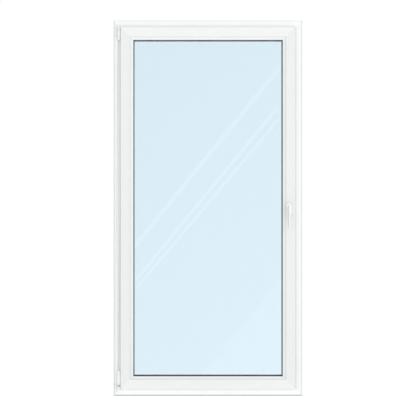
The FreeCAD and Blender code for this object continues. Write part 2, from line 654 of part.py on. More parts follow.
# the other three rods are plain strips; the top one stops short of the stay's slot
TOP_CAMS, BOTTOM_CAMS = KEEPS_FLAT, KEEPS_FLAT
keep(box("%s+60" % slide_x, "frame_width/2-120", RY0, RY1,
         "frame_height-sash_inset-%s" % R_IN, "frame_height-sash_inset-%s" % R_OUT,
         "rod_top"))
keep(gather(cam_set("z", TOP_CAMS, 1), "cams_top"))
keep(box("-10", "frame_width/2-120", RY0, RY1, "sash_inset+%s" % R_OUT,
         "sash_inset+%s" % R_IN, "rod_bottom"))
keep(gather(cam_set("z", BOTTOM_CAMS, -1), "cams_bottom"))
keep(box("-frame_width/2+sash_inset+%s" % R_OUT, "-frame_width/2+sash_inset+%s" % R_IN,
         RY0, RY1, "200", "frame_height-200", "rod_hinge_side"))
keep(gather(cam_set("x", KEEPS_HINGE, -1), "cams_hinge_side"))

# faceplates with a slot for every cam's travel
lock_slots = [box("%s-5" % RIGHT, "%s+1" % RIGHT, "%s-%s" % (GROOVE_Y, CAM_SLOT),
                  "%s+%s" % (GROOVE_Y, CAM_SLOT), "%s-rod_travel-4.5" % z, "%s+4.5" % z)
              for z in KEEPS_LOCK]
hinge_slots = [box("%s-1" % LEFT, "%s+5" % LEFT, "%s-%s" % (GROOVE_Y, CAM_SLOT),
                   "%s+%s" % (GROOVE_Y, CAM_SLOT), "%s-4.5" % z, "%s+rod_travel+4.5" % z)
               for z in KEEPS_HINGE]
top_slots = [box("%s-4.5" % x, "%s+rod_travel+4.5" % x, "%s-%s" % (GROOVE_Y, CAM_SLOT),
                 "%s+%s" % (GROOVE_Y, CAM_SLOT), "%s-5" % TOP, "%s+1" % TOP)
             for x in TOP_CAMS]
bottom_slots = [box("%s-rod_travel-4.5" % x, "%s+4.5" % x, "%s-%s" % (GROOVE_Y, CAM_SLOT),
                    "%s+%s" % (GROOVE_Y, CAM_SLOT), "%s-1" % BOTTOM, "%s+5" % BOTTOM)
                for x in BOTTOM_CAMS]
stay_slot = box("%s-34" % slide_x, "%s+5" % slide_x, "%s-4.6" % GROOVE_Y,
                "%s+4.6" % GROOVE_Y, "%s-5" % TOP, "%s+1" % TOP)
CORNER = "(sash_inset+sash_lip+70)"
# screws that hold the faceplates, each one clear of the cam slots and the corner drives
HIGH_SPAN = "(frame_height-keep_last-handle_height-keep_above)"
SCREWS_LOCK = ["keep_first+140", "handle_height-106", "handle_height+114",
               "handle_height+keep_above+%s*15/23" % HIGH_SPAN]
SCREWS_HINGE = ["430", "frame_height-505"]
SCREWS_TOP = ["-frame_width/2+170", "-frame_width/2+340", "60"]
SCREWS_BOTTOM = ["-frame_width/2+170", "-80"]
face_screw_list = []
for z in SCREWS_LOCK:
    face_screw_list.append(screw("x", RIGHT, GROOVE_Y, z, "13", radius="1.8", head="3",
                                 thick="0.8", sign=-1))
for z in SCREWS_HINGE:
    face_screw_list.append(screw("x", LEFT, GROOVE_Y, z, "13", radius="1.8", head="3",
                                 thick="0.8"))
for x in SCREWS_TOP:
    face_screw_list.append(screw("z", x, GROOVE_Y, TOP, "13", radius="1.8", head="3",
                                 thick="0.8", sign=-1))
for x in SCREWS_BOTTOM:
    face_screw_list.append(screw("z", x, GROOVE_Y, BOTTOM, "13", radius="1.8", head="3",
                                 thick="0.8"))
face_screws = gather(face_screw_list, "faceplate_screws")
slot_for_screw_lock = [box("%s-12" % RIGHT, "%s-plate_thick" % RIGHT, "%s-2.4" % GROOVE_Y,
                           "%s+2.4" % GROOVE_Y, "%s-3" % z, "%s+rod_travel+3" % z)
                       for z in SCREWS_LOCK]
slot_for_screw_hinge = [box("%s+plate_thick" % LEFT, "%s+12" % LEFT, "%s-2.4" % GROOVE_Y,
                            "%s+2.4" % GROOVE_Y, "%s-rod_travel-3" % z, "%s+3" % z)
                        for z in SCREWS_HINGE]
slot_for_screw_top = [box("%s-rod_travel-3" % x, "%s+3" % x, "%s-2.4" % GROOVE_Y,
                          "%s+2.4" % GROOVE_Y, "%s-12" % TOP, "%s-plate_thick" % TOP)
                      for x in SCREWS_TOP[2:]]
lock_rod = [one for one in NODES if one.Label == "rod_lock_side"][0]
hinge_rod = [one for one in NODES if one.Label == "rod_hinge_side"][0]
top_rod = [one for one in NODES if one.Label == "rod_top"][0]
for solid, slots, label in ((lock_rod, slot_for_screw_lock, "rod_lock_side"),
                            (hinge_rod, slot_for_screw_hinge, "rod_hinge_side"),
                            (top_rod, slot_for_screw_top, "rod_top")):
    NODES.remove(solid)
    solid.Label = "Strip"
    keep(cut(solid, slots, label))

plate_lock = box("%s-plate_thick" % RIGHT, RIGHT, PY0, PY1, CORNER,
                 "frame_height-%s" % CORNER)
keep(cut(plate_lock, lock_slots + [face_screws], "faceplate_lock_side"))
plate_hinge = box(LEFT, "%s+plate_thick" % LEFT, PY0, PY1, "142",
                  "frame_height-%s" % CORNER)
keep(cut(plate_hinge, hinge_slots + [face_screws], "faceplate_hinge_side"))
plate_top = box("-frame_width/2+%s" % CORNER, "frame_width/2-%s" % CORNER, PY0, PY1,
                "%s-plate_thick" % TOP, TOP)
keep(cut(plate_top, top_slots + [stay_slot, face_screws], "faceplate_top"))
plate_bottom = box("-frame_width/2+%s" % CORNER, "frame_width/2-%s" % CORNER, PY0, PY1,
                   BOTTOM, "%s+plate_thick" % BOTTOM)
keep(cut(plate_bottom, bottom_slots + [face_screws], "faceplate_bottom"))
keep(face_screws)

# corner drives: angled channels that lead the flexible strips round each corner
corner_list = []
for x_side in (-1, 1):
    for z_side in (-1, 1):
        if x_side < 0 and z_side < 0:
            continue
        if x_side > 0:
            x0, x1 = "%s-67" % RIGHT, RIGHT
            xa, xb = "%s-plate_thick" % RIGHT, RIGHT
        else:
            x0, x1 = LEFT, "%s+67" % LEFT
            xa, xb = LEFT, "%s+plate_thick" % LEFT
        if z_side > 0:
            z0, z1 = "%s-67" % TOP, TOP
            za, zb = "%s-plate_thick" % TOP, TOP
        else:
            z0, z1 = BOTTOM, "%s+67" % BOTTOM
            za, zb = BOTTOM, "%s+plate_thick" % BOTTOM
        flat = box(x0, x1, PY0, PY1, za, zb)
        upright = box(xa, xb, PY0, PY1, z0, z1)
        corner_list.append(fuse([flat, upright]))
keep(gather(corner_list, "corner_drives"))

# ---------------------------------------------------------------- hinge band on the sash
cheeks = []
for x0, x1 in (("-7", "-4.5"), ("4.5", "7")):
    cheeks.append(box("%s%+.1f" % (AXIS_X, float(x0)), "%s%+.1f" % (AXIS_X, float(x1)),
                      "%s-3.6" % AXIS_Y, "%s+3.6" % AXIS_Y, "53", "64"))
collar = rod("z", AXIS_X, AXIS_Y, "62.3", "cover_radius", "cover_low-62.3")
barrel = rod("z", AXIS_X, AXIS_Y, "62.3", "6.5", "70")
band_back = box("%s+3.6" % AXIS_X, "%s+6" % AXIS_X, AXIS_Y, "%s-1.2" % ROOM, "68", "130")
band_leaf = box("%s+3.6" % AXIS_X, LEFT, LIP_BACK, "%s-1.2" % ROOM, "68", "130")
band_side = box("%s-2.4" % LEFT, LEFT, LIP_BACK, "%s+6" % GROOVE_Y, "68", "130")
trunnion_bore = rod("x", "%s-10" % AXIS_X, AXIS_Y, "tilt_height",
                    "trunnion_radius+pivot_play", "20")
band_screws = gather([screw("x", "%s-2.4" % LEFT, GROOVE_Y, z, "14", radius="1.8",
                            head="3.2", thick="1.2") for z in ("84", "114")],
                     "corner_band_screws")
keep(cut(fuse(cheeks + [collar, barrel, band_back, band_leaf, band_side]),
         [trunnion_bore, band_screws], "corner_band"))
keep(band_screws)
cover_out = rod("z", AXIS_X, AXIS_Y, "cover_low+0.1", "cover_radius",
                "cover_high-cover_low-0.1")
cover_in = rod("z", AXIS_X, AXIS_Y, "cover_low-1", "6.6", "133.5-cover_low")
cover_slot = box("%s+3.4" % AXIS_X, "%s+12" % AXIS_X, AXIS_Y, "%s+12" % AXIS_Y,
                 "cover_low-1", "130.2")
keep(cut(cover_out, [cover_in, cover_slot], "corner_band_cover"))

# ---------------------------------------------------------------- gearbox
CASE_Z0, CASE_Z1 = "(handle_height-58)", "(handle_height+58)"
case_x0 = "(frame_width/2-sash_inset-sash_face+wall+2)"
case_x1 = "(%s+gear_pitch-gear_addendum-0.4)" % HANDLE_X
case_outer = box(case_x0, case_x1, "%s+0.2" % G0, "%s-0.2" % G1, CASE_Z0, CASE_Z1)
case_room = rod("y", HANDLE_X, "%s-gear_thick/2-0.2" % GROOVE_Y, "handle_height",
                "gear_pitch+gear_addendum+0.5", "gear_thick+0.4")
case_bore = rod("y", HANDLE_X, "%s-20" % GROOVE_Y, "handle_height",
                "journal_radius+journal_play", "40")
case_lugs = [rod("y", HANDLE_X, "%s-20" % GROOVE_Y, "handle_height%s" % step, "2.5", "40")
             for step in ("-21.5", "+21.5")]
keep(cut(case_outer, [case_room, case_bore] + case_lugs, "gearbox_case"))

# pinion: twelve stub teeth, two journals and a square hole
gear_points = []
for index in range(12):
    middle = math.radians(30 * index)
    for radius, half, lean in (("(gear_pitch-gear_dedendum)", "(gear_half*1.3)", -1),
                               ("(gear_pitch+gear_addendum)", "(gear_half*0.55)", -1),
                               ("(gear_pitch+gear_addendum)", "(gear_half*0.55)", 1),
                               ("(gear_pitch-gear_dedendum)", "(gear_half*1.3)", 1)):
        across = (-math.sin(middle) * lean, math.cos(middle) * lean)
        gear_points.append((
            "%s*%.6f+%s*%.6f" % (radius, math.cos(middle), half, across[0]),
            "%s*%.6f+%s*%.6f" % (radius, math.sin(middle), half, across[1])))
gear = padded("GearWheel", "XZ_Plane", [gear_points], "gear_thick", symmetric=True)
place(gear, HANDLE_X, GROOVE_Y, "handle_height")
journals = rod("y", HANDLE_X, "%s+0.4" % G0, "handle_height", "journal_radius",
               "groove_wide-0.8")
SQ = "(spindle_side/2+spindle_play)"
square_hole = box("%s-%s" % (HANDLE_X, SQ), "%s+%s" % (HANDLE_X, SQ), "%s-20" % GROOVE_Y,
                  "%s+20" % GROOVE_Y, "handle_height-%s" % SQ, "handle_height+%s" % SQ)
keep(cut(fuse([gear, journals]), [square_hole], "drive_pinion"))

# ---------------------------------------------------------------- handle
ROSE_Y = "(%s-rose_proud)" % SASH_ROOM


def stadium(label, half_wide, half_tall, y0, y1, corner):
    """Upright plate with cut corners, standing on the sash's room face."""
    a, b, c = half_wide, half_tall, corner
    corners = [("-(%s)" % a, "-(%s)+%s" % (b, c)), ("-(%s)+%s" % (a, c), "-(%s)" % b),
               ("%s-%s" % (a, c), "-(%s)" % b), (a, "-(%s)+%s" % (b, c)),
               (a, "%s-%s" % (b, c)), ("%s-%s" % (a, c), b),
               ("-(%s)+%s" % (a, c), b), ("-(%s)" % a, "%s-%s" % (b, c))]
    body = padded(label, "XZ_Plane", [corners], "(%s)-(%s)" % (y1, y0))
    return place(body, HANDLE_X, y1, "handle_height")


rose_in = stadium("RoseCore", "rose_width/2-2", "rose_height/2-2",
                  "%s+2" % ROSE_Y, SASH_ROOM, "3")
rose_bore = rod("y", HANDLE_X, "%s-30" % SASH_ROOM, "handle_height", "lever_neck+0.1", "40")
handle_screws = gather(
    [screw("y", HANDLE_X, "%s+5" % ROSE_Y, "handle_height%s" % step,
           "rose_proud-5+groove_back", radius="2.4", head="4.4", thick="2.4")
     for step in ("-21.5", "+21.5")], "handle_screws")
keep(cut(rose_in, [rose_bore, handle_screws], "handle_base"))
rose_out = stadium("RoseShell", "rose_width/2", "rose_height/2", ROSE_Y, SASH_ROOM, "4")
rose_hollow = stadium("RoseHollow", "rose_width/2-1.9", "rose_height/2-1.9",
                      "%s+1.9" % ROSE_Y, "%s+1" % SASH_ROOM, "2.9")
keep(cut(rose_out, [rose_hollow, rose_bore], "handle_cover"))
keep(handle_screws)

LEVER_Y = "(%s-lever_room)" % SASH_ROOM
neck = rod("y", HANDLE_X, "%s+2" % LEVER_Y, "handle_height", "lever_neck",
           "lever_room-2-4")
lever_outline = [
    ("-6", "lever_top"), ("6", "lever_top"), ("10", "lever_top-5"), ("10.5", "0"),
    ("9", "-lever_low*0.3"), ("6.5", "-lever_low*0.75"), ("5", "-lever_low+4"),
    ("2.5", "-lever_low"), ("-2.5", "-lever_low"), ("-5", "-lever_low+4"),
    ("-6.5", "-lever_low*0.75"), ("-9", "-lever_low*0.3"), ("-10.5", "0"),
    ("-10", "lever_top-5"),
]
grip = padded("Grip", "XZ_Plane", [lever_outline], "lever_thick")
place(grip, HANDLE_X, "%s+lever_thick" % LEVER_Y, "handle_height")
SP = "(spindle_side/2)"
spindle_y0, spindle_y1 = "%s-lever_room+16" % SASH_ROOM, "%s-0.4" % G1
spindle = box("%s-%s" % (HANDLE_X, SP), "%s+%s" % (HANDLE_X, SP), spindle_y0, spindle_y1,
              "handle_height-%s" % SP, "handle_height+%s" % SP, "handle_spindle")
keep(cut(fuse([neck, grip]), [spindle], "handle_lever"))
keep(spindle)

# ---------------------------------------------------------------- finish the sash bars
gear_pocket = box("frame_width/2-sash_inset-sash_face+wall", "%s-plate_thick" % RIGHT,
                  G0, G1, "handle_height-60", "handle_height+60")
spindle_bore = rod("y", HANDLE_X, "%s-1" % SASH_ROOM, "handle_height", "7", "groove_back")
screw_bores = [rod("y", HANDLE_X, "%s-1" % SASH_ROOM, "handle_height%s" % step, "2.6",
                   "groove_back") for step in ("-21.5", "+21.5")]
keep(cut(sash_bars["lock"], [gear_pocket, spindle_bore] + screw_bores + [face_screws],
         "sash_stile_lock_side"))
keep(cut(sash_bars["hinge"], [face_screws, band_screws], "sash_stile_hinge_side"))
keep(cut(sash_bars["top"], [face_screws], "sash_top_rail"))
keep(cut(sash_bars["bottom"], [face_screws], "sash_bottom_rail"))
keep(cut(sash_steels, [band_screws], "sash_steel"))

# seal on the back of the sash lip, notched where hinge leaves pass
sash_seal = ring("sash_inset+2", "sash_inset+6", LIP_BACK, "%s-1.5" % ROOM)
notch_high = box("-frame_width/2+sash_inset-1", "-frame_width/2+sash_inset+8",
                 "%s-1" % LIP_BACK, ROOM, "frame_height-eye_low-5",
                 "frame_height-eye_high+4")
notch_low = box("-frame_width/2+sash_inset-1", "-frame_width/2+sash_inset+8",
                "%s-1" % LIP_BACK, ROOM, "60", "134")
keep(cut(sash_seal, [notch_high, notch_low], "sash_gasket"))

# ---------------------------------------------------------------- glazing
PANE_OUT = "(%s-leg_gasket)" % LEG_IN
PANE_IN = "(%s-2*pane_thick-pane_cavity)" % PANE_OUT
BEAD_OUT = "(%s-bead_gasket)" % PANE_IN
bead_outline = [
    ("sash_face+0.1", BEAD_ROOM), ("bead_face-5", BEAD_ROOM),
    ("bead_face-1.5", "%s+1.5" % BEAD_ROOM), ("bead_face", "%s+5" % BEAD_ROOM),
    ("bead_face", BEAD_OUT), ("bead_face-7", BEAD_OUT),
    ("bead_face-7", "%s-3" % BEAD_OUT), ("sash_face+0.1", "%s-3" % BEAD_OUT),
    ("sash_face+0.1", "%s+10.9" % BEAD_ROOM), ("sash_face-2.8", "%s+10.9" % BEAD_ROOM),
    ("sash_face-2.8", "%s+7.1" % BEAD_ROOM), ("sash_face+0.1", "%s+7.1" % BEAD_ROOM),
]
beads = mitred_ring({"hinge": "bead_hinge_side", "lock": "bead_lock_side",
                     "top": "bead_top", "bottom": "bead_bottom"},
                    "sash_inset", [bead_outline])
for side in ("hinge", "lock", "top", "bottom"):
    keep(beads[side])
keep(ring("sash_inset+bead_face-6.9", "sash_inset+bead_face+5", BEAD_OUT, PANE_IN,
          "bead_gasket"))
keep(ring("sash_inset+sash_leg-8", "sash_inset+sash_leg-3", PANE_OUT, LEG_IN,
          "leg_gasket"))


def pane(y0, y1, label):
    inset = "(sash_inset+pane_edge)"
    return box("-frame_width/2+" + inset, "frame_width/2-" + inset, y0, y1,
               inset, "frame_height-" + inset, label)


keep(pane(PANE_IN, "%s+pane_thick" % PANE_IN, "glass_pane_room"))
keep(pane("%s-pane_thick" % PANE_OUT, PANE_OUT, "glass_pane_outdoor"))
CAV0, CAV1 = "(%s+pane_thick)" % PANE_IN, "(%s-pane_thick)" % PANE_OUT
keep(ring("sash_inset+pane_edge+4", "sash_inset+pane_edge+13", CAV0, CAV1,
          "glass_spacer"))
keep(ring("sash_inset+pane_edge", "sash_inset+pane_edge+4", CAV0, CAV1,
          "glass_edge_seal"))

# packers under and beside the glass
PACK0, PACK1 = "sash_inset+sash_face", "sash_inset+pane_edge"
packers = []
for x in ("-frame_width/2+220", "frame_width/2-220"):
    packers.append(box("%s-50" % x, "%s+50" % x, PANE_IN, PANE_OUT, PACK0, PACK1))
packers.append(box("-frame_width/2+(%s)" % PACK0, "-frame_width/2+(%s)" % PACK1,
                   PANE_IN, PANE_OUT, "230", "330"))
packers.append(box("frame_width/2-(%s)" % PACK1, "frame_width/2-(%s)" % PACK0,
                   PANE_IN, PANE_OUT, "frame_height-330", "frame_height-230"))
keep(gather(packers, "glazing_packers"))

# ---------------------------------------------------------------- check and write
doc.recompute()
faults = []
for thing in doc.Objects:
    if "Invalid" in thing.State or "Error" in thing.State:
        faults.append("%s (%s) is %s" % (thing.Name, thing.Label, thing.State))
os.makedirs("parts", exist_ok=True)
for thing in NODES:
    shape = thing.Shape
    if shape.isNull() or not shape.isValid() or not shape.Solids:
        faults.append("%s has no valid solid" % thing.Label)
if faults:
    raise RuntimeError("; ".join(faults[:12]))
for thing in NODES:
    thing.Shape.exportStep("parts/%s.step" % thing.Label)
    size = thing.Shape.BoundBox
    print("%-26s %2d solids %10.0f mm3  x %.1f..%.1f y %.1f..%.1f z %.1f..%.1f" % (
        thing.Label, len(thing.Shape.Solids), thing.Shape.Volume, size.XMin, size.XMax,
        size.YMin, size.YMax, size.ZMin, size.ZMax))
print(len(NODES), "parts written")
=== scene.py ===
# %% [markdown]
# # A white plastic tilt-and-turn window
#
# The window is about one metre wide and two metres tall. The CAD model already holds
# every bar, pane and fitting in its true place. Here each of those gets its finish, and
# the pieces that need soft, flowing shapes, such as the handle and the hinge covers, are
# modelled again round the CAD ones. It keeps the CAD pieces still and lets new pieces
# ride on the bodies that move.

# %% Load the window
import math

import bmesh
import bpy
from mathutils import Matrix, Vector


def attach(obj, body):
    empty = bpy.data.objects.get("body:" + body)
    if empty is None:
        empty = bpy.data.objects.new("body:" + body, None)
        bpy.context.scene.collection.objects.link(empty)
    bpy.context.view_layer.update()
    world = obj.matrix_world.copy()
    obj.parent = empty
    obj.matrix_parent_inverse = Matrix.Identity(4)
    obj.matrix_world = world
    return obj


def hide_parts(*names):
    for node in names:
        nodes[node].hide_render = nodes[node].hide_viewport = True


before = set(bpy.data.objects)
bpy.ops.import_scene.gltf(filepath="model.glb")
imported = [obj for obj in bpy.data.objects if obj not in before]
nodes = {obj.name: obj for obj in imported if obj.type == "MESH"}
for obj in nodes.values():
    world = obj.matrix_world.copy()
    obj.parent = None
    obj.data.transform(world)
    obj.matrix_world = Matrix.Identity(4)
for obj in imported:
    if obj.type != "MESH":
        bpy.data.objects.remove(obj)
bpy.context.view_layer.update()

# %% [markdown]
# Real sizes are easier to read in millimetres, and Blender works in metres, so one
# constant turns one into the other.  X runs to the right seen from the room, Y outdoors
# and Z up, and the frame's bottom edge is at zero.  Colours are written as the hex values
# a paint chart gives.  A shader wants linear light, so one function does that change.

# %% Units, sizes and colours
MM = 0.001
FRAME_WIDE, FRAME_TALL = 1000 * MM, 1985 * MM
SASH_INSET = 39 * MM            # frame's edge to the sash's edge
AXIS_X, AXIS_Y = -0.470, -0.048  # the upright line that the sash turns on


def colour(hex_code):
    """sRGB hex such as 'F2F3F3' to linear red, green, blue and alpha."""
    channels = [int(hex_code[i:i + 2], 16) / 255 for i in (0, 2, 4)]
    linear = [c / 12.92 if c <= 0.04045 else ((c + 0.055) / 1.055) ** 2.4
              for c in channels]
    return (*linear, 1.0)


print("frame", FRAME_WIDE, "by", FRAME_TALL, "m; its white in linear light:",
      [round(c, 3) for c in colour("F0F1F1")[:3]])

# %% [markdown]
# Every finish below is a small tree of nodes.  This one function adds a node, sets its
# options and fills or links its inputs, so a tree reads like a list.  A value that is a
# pair of (node, output name) becomes a link, and anything else is a plain setting.

# %% One function adds a node


def add(tree, kind, links=None, **settings):
    made = tree.nodes.new(kind)
    for name, setting in settings.items():
        setattr(made, name, setting)
    for name, source in (links or {}).items():
        socket = made.inputs[name]
        if isinstance(source, tuple) and len(source) == 2 and hasattr(source[0], "outputs"):
            tree.links.new(source[0].outputs[source[1]], socket)
        else:
            socket.default_value = source
    return made


def new_finish(name):
    """An empty material with its node tree cleared."""
    made = bpy.data.materials.new(name)
    made.use_nodes = True
    made.node_tree.nodes.clear()
    return made, made.node_tree


def close_finish(tree, shader_inputs):
    """The surface shader and the output every finish ends in."""
    surface = add(tree, "ShaderNodeBsdfPrincipled", shader_inputs)
    add(tree, "ShaderNodeOutputMaterial", {"Surface": (surface, "BSDF")})


# %% [markdown]
# ## Rigid PVC, extruded
#
# The frame, sash and glazing beads are white rigid PVC pushed through a die.  The die
# leaves very fine lines along each bar, and the surface has a satin gloss with a slight
# waviness.  The lines are about 0.1 mm apart on the real bars.  That is too fine to show,
# so they are drawn 3 mm apart and very shallow.  Uprights and rails need lines in
# different directions, so the finish is made once for each.
#
# A fine line runs round the frame near its outer edge.  Its shade is painted into the
# colour as a darker band, darkest along the sill.  A band of painted shade also runs beside
# the sash on the uprights.  Each painted shade band is written as how far in from the
# frame's edge it is, how wide it is, and the share of light it keeps.

# %% PVC finish
PVC_LINE = 3.0 * MM
PVC_WAVE = 60.0 * MM
PVC_ALONG = 2.0                 # lines hardly change along a bar


def pvc(name, shade, along, roughness=0.30, painted_shade=()):
    """along is the axis that the bar runs on; painted_shade rows are bands of painted
    shade, in millimetres and a share.
    """
    made, tree = new_finish(name)
    place = add(tree, "ShaderNodeTexCoord")
    across = 1 / PVC_LINE
    stretch = {"z": (across, across, PVC_ALONG), "x": (PVC_ALONG, across, across)}
    lines_at = add(tree, "ShaderNodeMapping", {"Vector": (place, "Object"),
                                               "Scale": stretch[along]})
    lines = add(tree, "ShaderNodeTexNoise", {"Vector": (lines_at, "Vector"), "Scale": 1.0,
                                             "Detail": 2.0})
    waves = add(tree, "ShaderNodeTexNoise", {"Vector": (place, "Object"),
                                             "Scale": 1 / PVC_WAVE, "Detail": 1.0})
    both = add(tree, "ShaderNodeMath", {0: (lines, "Fac"), 1: 0.35, 2: (waves, "Fac")},
               operation="MULTIPLY_ADD")
    bump = add(tree, "ShaderNodeBump", {"Height": (both, "Value"), "Strength": 0.10,
                                        "Distance": 0.25 * MM})
    tone = add(tree, "ShaderNodeMapRange", {"Value": (waves, "Fac"), "From Min": 0.3,
                                            "From Max": 0.7, "To Min": 0.985,
                                            "To Max": 1.0})
    base = add(tree, "ShaderNodeMix", {"Factor": 1.0, 6: colour(shade),
                                       7: (tone, "Result")},
               data_type="RGBA", blend_type="MULTIPLY")
    # Darker bands at set distances in from the frame's edge: painted shade in the fine line
    # round the frame and beside the sash.
    if painted_shade:
        axis, middle, half = {"z": ("X", 0.0, FRAME_WIDE / 2),
                              "x": ("Z", FRAME_TALL / 2, FRAME_TALL / 2)}[along]
        spot = add(tree, "ShaderNodeSeparateXYZ", {"Vector": (place, "Object")})
        centred = add(tree, "ShaderNodeMath", {0: (spot, axis), 1: middle},
                      operation="SUBTRACT")
        outward = add(tree, "ShaderNodeMath", {0: (centred, "Value")},
                      operation="ABSOLUTE")
        for inset, wide, kept in painted_shade:
            from_line = add(tree, "ShaderNodeMath",
                            {0: (outward, "Value"), 1: half - inset * MM},
                            operation="SUBTRACT")
            off_line = add(tree, "ShaderNodeMath", {0: (from_line, "Value")},
                           operation="ABSOLUTE")
            painted_shade_mask = add(tree, "ShaderNodeMapRange",
                       {"Value": (off_line, "Value"), "From Min": 0.3 * wide * MM,
                        "From Max": 0.7 * wide * MM, "To Min": kept, "To Max": 1.0},
                       interpolation_type="SMOOTHSTEP")
            base = add(tree, "ShaderNodeMix", {"Factor": 1.0, 6: (base, 2),
                                               7: (painted_shade_mask, "Result")},
                       data_type="RGBA", blend_type="MULTIPLY")
    gloss = add(tree, "ShaderNodeMapRange", {"Value": (lines, "Fac"), "From Min": 0.3,
                                             "From Max": 0.7, "To Min": roughness - 0.03,
                                             "To Max": roughness + 0.05})
    close_finish(tree, {"Base Color": (base, 2), "Roughness": (gloss, "Result"),
                        "Normal": (bump, "Normal"), "IOR": 1.53})
    return made


# The frame, sash and bead bars are one white plastic.  Their slightly different whites are
# painted light and painted shade for how light falls on each bar: the sill and head are
# lightest and the sash uprights darkest.
frame_upright = pvc("rigid_pvc_frame_upright", "F0F1F1", "z",
                    painted_shade=((6.0, 4.4, 0.88), (38.4, 4.0, 0.72)))
frame_head = pvc("rigid_pvc_frame_head", "F5F6F6", "x", painted_shade=((6.0, 4.4, 0.95),))
frame_sill = pvc("rigid_pvc_frame_sill", "F7F8F8", "x", painted_shade=((5.0, 4.6, 0.42),))
sash_upright = pvc("rigid_pvc_sash_upright", "E6E7E7", "z")
sash_rail = pvc("rigid_pvc_sash_rail", "EBECEC", "x")
bead_upright = pvc("rigid_pvc_bead_upright", "E9EAEA", "z", 0.26)
bead_rail = pvc("rigid_pvc_bead_rail", "EBECEC", "x", 0.26)
print("PVC finishes:", [one.name for one in (frame_upright, frame_head, frame_sill,
                                             sash_upright, sash_rail, bead_upright,
                                             bead_rail)])

# %% [markdown]
# ## Rubber seals
#
# Window seals are EPDM rubber, black and matt, extruded with a fine drag texture.  The
# sash's own seal is a grey thermoplastic that is moulded on with the bar.

# %% Seal finish
RUBBER_GRAIN = 1.2 * MM


def rubber(name, shade, roughness):
    made, tree = new_finish(name)
    place = add(tree, "ShaderNodeTexCoord")
    grain = add(tree, "ShaderNodeTexNoise", {"Vector": (place, "Object"),
                                             "Scale": 1 / RUBBER_GRAIN, "Detail": 3.0})
    tone = add(tree, "ShaderNodeMapRange", {"Value": (grain, "Fac"), "To Min": 0.8,
                                            "To Max": 1.2})
    base = add(tree, "ShaderNodeMix", {"Factor": 1.0, 6: colour(shade),
                                       7: (tone, "Result")},
               data_type="RGBA", blend_type="MULTIPLY")
    bump = add(tree, "ShaderNodeBump", {"Height": (grain, "Fac"), "Strength": 0.25,
                                        "Distance": 0.1 * MM})
    close_finish(tree, {"Base Color": (base, 2), "Roughness": roughness,
                        "Normal": (bump, "Normal"), "IOR": 1.50})
    return made


epdm = rubber("epdm_rubber_black", "2A2C2E", 0.62)
grey_seal = rubber("grey_soft_seal", "8C8F92", 0.55)
sealant = rubber("butyl_edge_sealant", "1E1F20", 0.7)
print("seal finishes:", epdm.name, grey_seal.name, sealant.name)

# %% [markdown]
# ## Metals
#
# The fittings are zinc plated steel strip: bright, cool grey, with fine rolling lines
# along the strip.  The reinforcement is hot-dip galvanised, which shows crystals a few
# millimetres across.  The keeps and gearbox are zinc die castings, which are duller and
# slightly pitted.  Metals keep the default IOR.

# %% Metal finish


def metal(name, shade, roughness, pattern, size, lengthwise=1.0):
    """pattern is 'roll' for strip, 'spangle' for galvanising, 'cast' for castings."""
    made, tree = new_finish(name)
    place = add(tree, "ShaderNodeTexCoord")
    scale = 1 / size
    spread = add(tree, "ShaderNodeMapping", {"Vector": (place, "Object"),
                                             "Scale": (scale, scale, scale * lengthwise)})
    if pattern == "spangle":
        mark = add(tree, "ShaderNodeTexVoronoi", {"Vector": (spread, "Vector"),
                                                  "Scale": 1.0})
        value = (mark, "Color")
    else:
        detail = 4.0 if pattern == "cast" else 1.0
        mark = add(tree, "ShaderNodeTexNoise", {"Vector": (spread, "Vector"), "Scale": 1.0,
                                                "Detail": detail})
        value = (mark, "Fac")
    gloss = add(tree, "ShaderNodeMapRange", {"Value": value, "From Min": 0.2,
                                             "From Max": 0.8, "To Min": roughness - 0.06,
                                             "To Max": roughness + 0.10})
    tone = add(tree, "ShaderNodeMapRange", {"Value": value, "From Min": 0.2,
                                            "From Max": 0.8, "To Min": 0.86,
                                            "To Max": 1.0})
    base = add(tree, "ShaderNodeMix", {"Factor": 1.0, 6: colour(shade),
                                       7: (tone, "Result")},
               data_type="RGBA", blend_type="MULTIPLY")
    bump = add(tree, "ShaderNodeBump", {"Height": value, "Strength": 0.15,
                                        "Distance": 0.05 * MM})
    close_finish(tree, {"Base Color": (base, 2), "Metallic": 1.0,
                        "Roughness": (gloss, "Result"), "Normal": (bump, "Normal")})
    return made


zinc_plate = metal("zinc_plated_strip", "C9CCCE", 0.30, "roll", 1.0 * MM, 0.05)
galvanised = metal("galvanised_steel", "B4B8BA", 0.42, "spangle", 9.0 * MM)
die_cast = metal("zinc_die_casting", "B9BBBD", 0.46, "cast", 2.0 * MM)
screw_metal = metal("passivated_screw", "C8C6BC", 0.28, "roll", 0.8 * MM)
print("metals:", zinc_plate.name, galvanised.name, die_cast.name, screw_metal.name)

# %% [markdown]
# ## Painted and moulded white
#
# The handle is lacquered and the hinges are powder coated, which leaves a faint
# orange-peel texture with bumps about 2 mm across.  The handle has a clear gloss over
# it.  The clip-on covers are moulded plastic with a softer sheen.

# %% White coat and covers


def white_coat(name, shade, roughness, peel, coat):
    made, tree = new_finish(name)
    place = add(tree, "ShaderNodeTexCoord")
    bumps = add(tree, "ShaderNodeTexNoise", {"Vector": (place, "Object"),
                                             "Scale": 1 / peel, "Detail": 1.5})
    bump = add(tree, "ShaderNodeBump", {"Height": (bumps, "Fac"), "Strength": 0.12,
                                        "Distance": 0.12 * MM})
    gloss = add(tree, "ShaderNodeMapRange", {"Value": (bumps, "Fac"), "From Min": 0.3,
                                             "From Max": 0.7, "To Min": roughness,
                                             "To Max": roughness + 0.06})
    close_finish(tree, {"Base Color": colour(shade), "Roughness": (gloss, "Result"),
                        "Normal": (bump, "Normal"), "IOR": 1.50, "Coat Weight": coat,
                        "Coat Roughness": 0.08})
    return made


